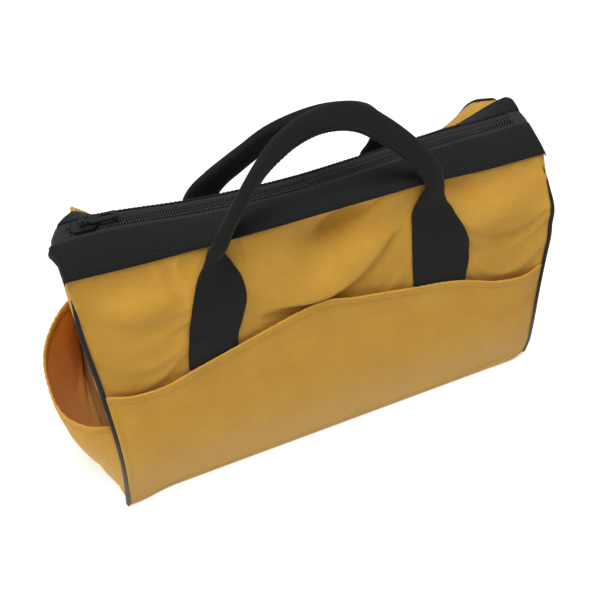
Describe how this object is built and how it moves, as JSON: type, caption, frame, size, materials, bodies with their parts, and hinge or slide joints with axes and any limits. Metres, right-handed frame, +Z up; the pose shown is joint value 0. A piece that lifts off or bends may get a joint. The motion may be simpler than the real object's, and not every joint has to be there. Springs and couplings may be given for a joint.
{
  "type": "zippered tool bag",
  "caption": "Canvas tool bag with a flat base, zipped top, patch and end pockets, corner piping and two webbing handles that swing.",
  "frame": {"origin": "on the floor under the centre of the base panel", "axes": "+X along the bag to its right end, +Y to the back, +Z up"},
  "size_m": [0.4666, 0.1878, 0.2777],
  "materials": {
    "canvas": "heavy cotton canvas, plain weave, matt",
    "board": "pressed stiffener board",
    "piping": "cord covered with black bias binding",
    "webbing": "black cotton webbing, ribbed weave",
    "zip_tape": "black woven polyester tape",
    "zip_coil": "black nylon coil",
    "painted_zinc": "black painted die-cast zinc"
  },
  "bodies": {
    "root": {"base_panel": "canvas", "base_board": "board", "front_panel": "canvas", "back_panel": "canvas", "left_end_panel": "canvas", "right_end_panel": "canvas", "front_pocket": "canvas", "back_pocket": "canvas", "left_end_pocket": "canvas", "right_end_pocket": "canvas", "front_left_piping": "piping", "front_right_piping": "piping", "back_left_piping": "piping", "back_right_piping": "piping", "left_zip_tab": "zip_tape", "right_zip_tab": "zip_tape", "front_left_tail": "webbing", "front_right_tail": "webbing", "back_left_tail": "webbing", "back_right_tail": "webbing"},
    "slider": {"zip_slider": "painted_zinc"},
    "pull": {"zip_pull": "painted_zinc"},
    "front_top": {"front_band": "webbing", "front_zip_tape": "zip_tape", "front_zip_coil": "zip_coil"},
    "back_top": {"back_band": "webbing", "back_zip_tape": "zip_tape", "back_zip_coil": "zip_coil"},
    "front_grip": {"front_handle": "webbing"},
    "back_grip": {"back_handle": "webbing"}
  },
  "joints": [
    {"name": "zip_slide", "type": "slide", "parent": "root", "child": "slider", "axis": [1, 0, 0], "range_m": [0, 0.352], "deforming": ["front_zip_tape", "back_zip_tape", "front_zip_coil", "back_zip_coil"]},
    {"name": "pull_flip", "type": "hinge", "parent": "slider", "child": "pull", "pos_m": [-0.176, 0, 0.218], "axis": [0, -1, 0], "range_deg": [0, 170]},
    {"name": "front_top_part", "type": "hinge", "parent": "root", "child": "front_top", "pos_m": [0, -0.0455, 0.2073], "axis": [1, 0, 0], "range_deg": [0, 45]},
    {"name": "back_top_part", "type": "hinge", "parent": "root", "child": "back_top", "pos_m": [0, 0.04, 0.1823], "axis": [-1, 0, 0], "range_deg": [0, 30]},
    {"name": "front_handle_swing", "type": "hinge", "parent": "root", "child": "front_grip", "pos_m": [0, -0.06109, 0.14], "axis": [1, 0, 0], "range_deg": [0, 150]},
    {"name": "back_handle_swing", "type": "hinge", "parent": "root", "child": "back_grip", "pos_m": [0, 0.06109, 0.14], "axis": [-1, 0, 0], "range_deg": [0, 150]}
  ],
  "couplings": [
    {"joint": "front_top_part", "follows": "zip_slide", "rad_per_m": 2.2312},
    {"joint": "back_top_part", "follows": "zip_slide", "rad_per_m": 1.4874}
  ]
}
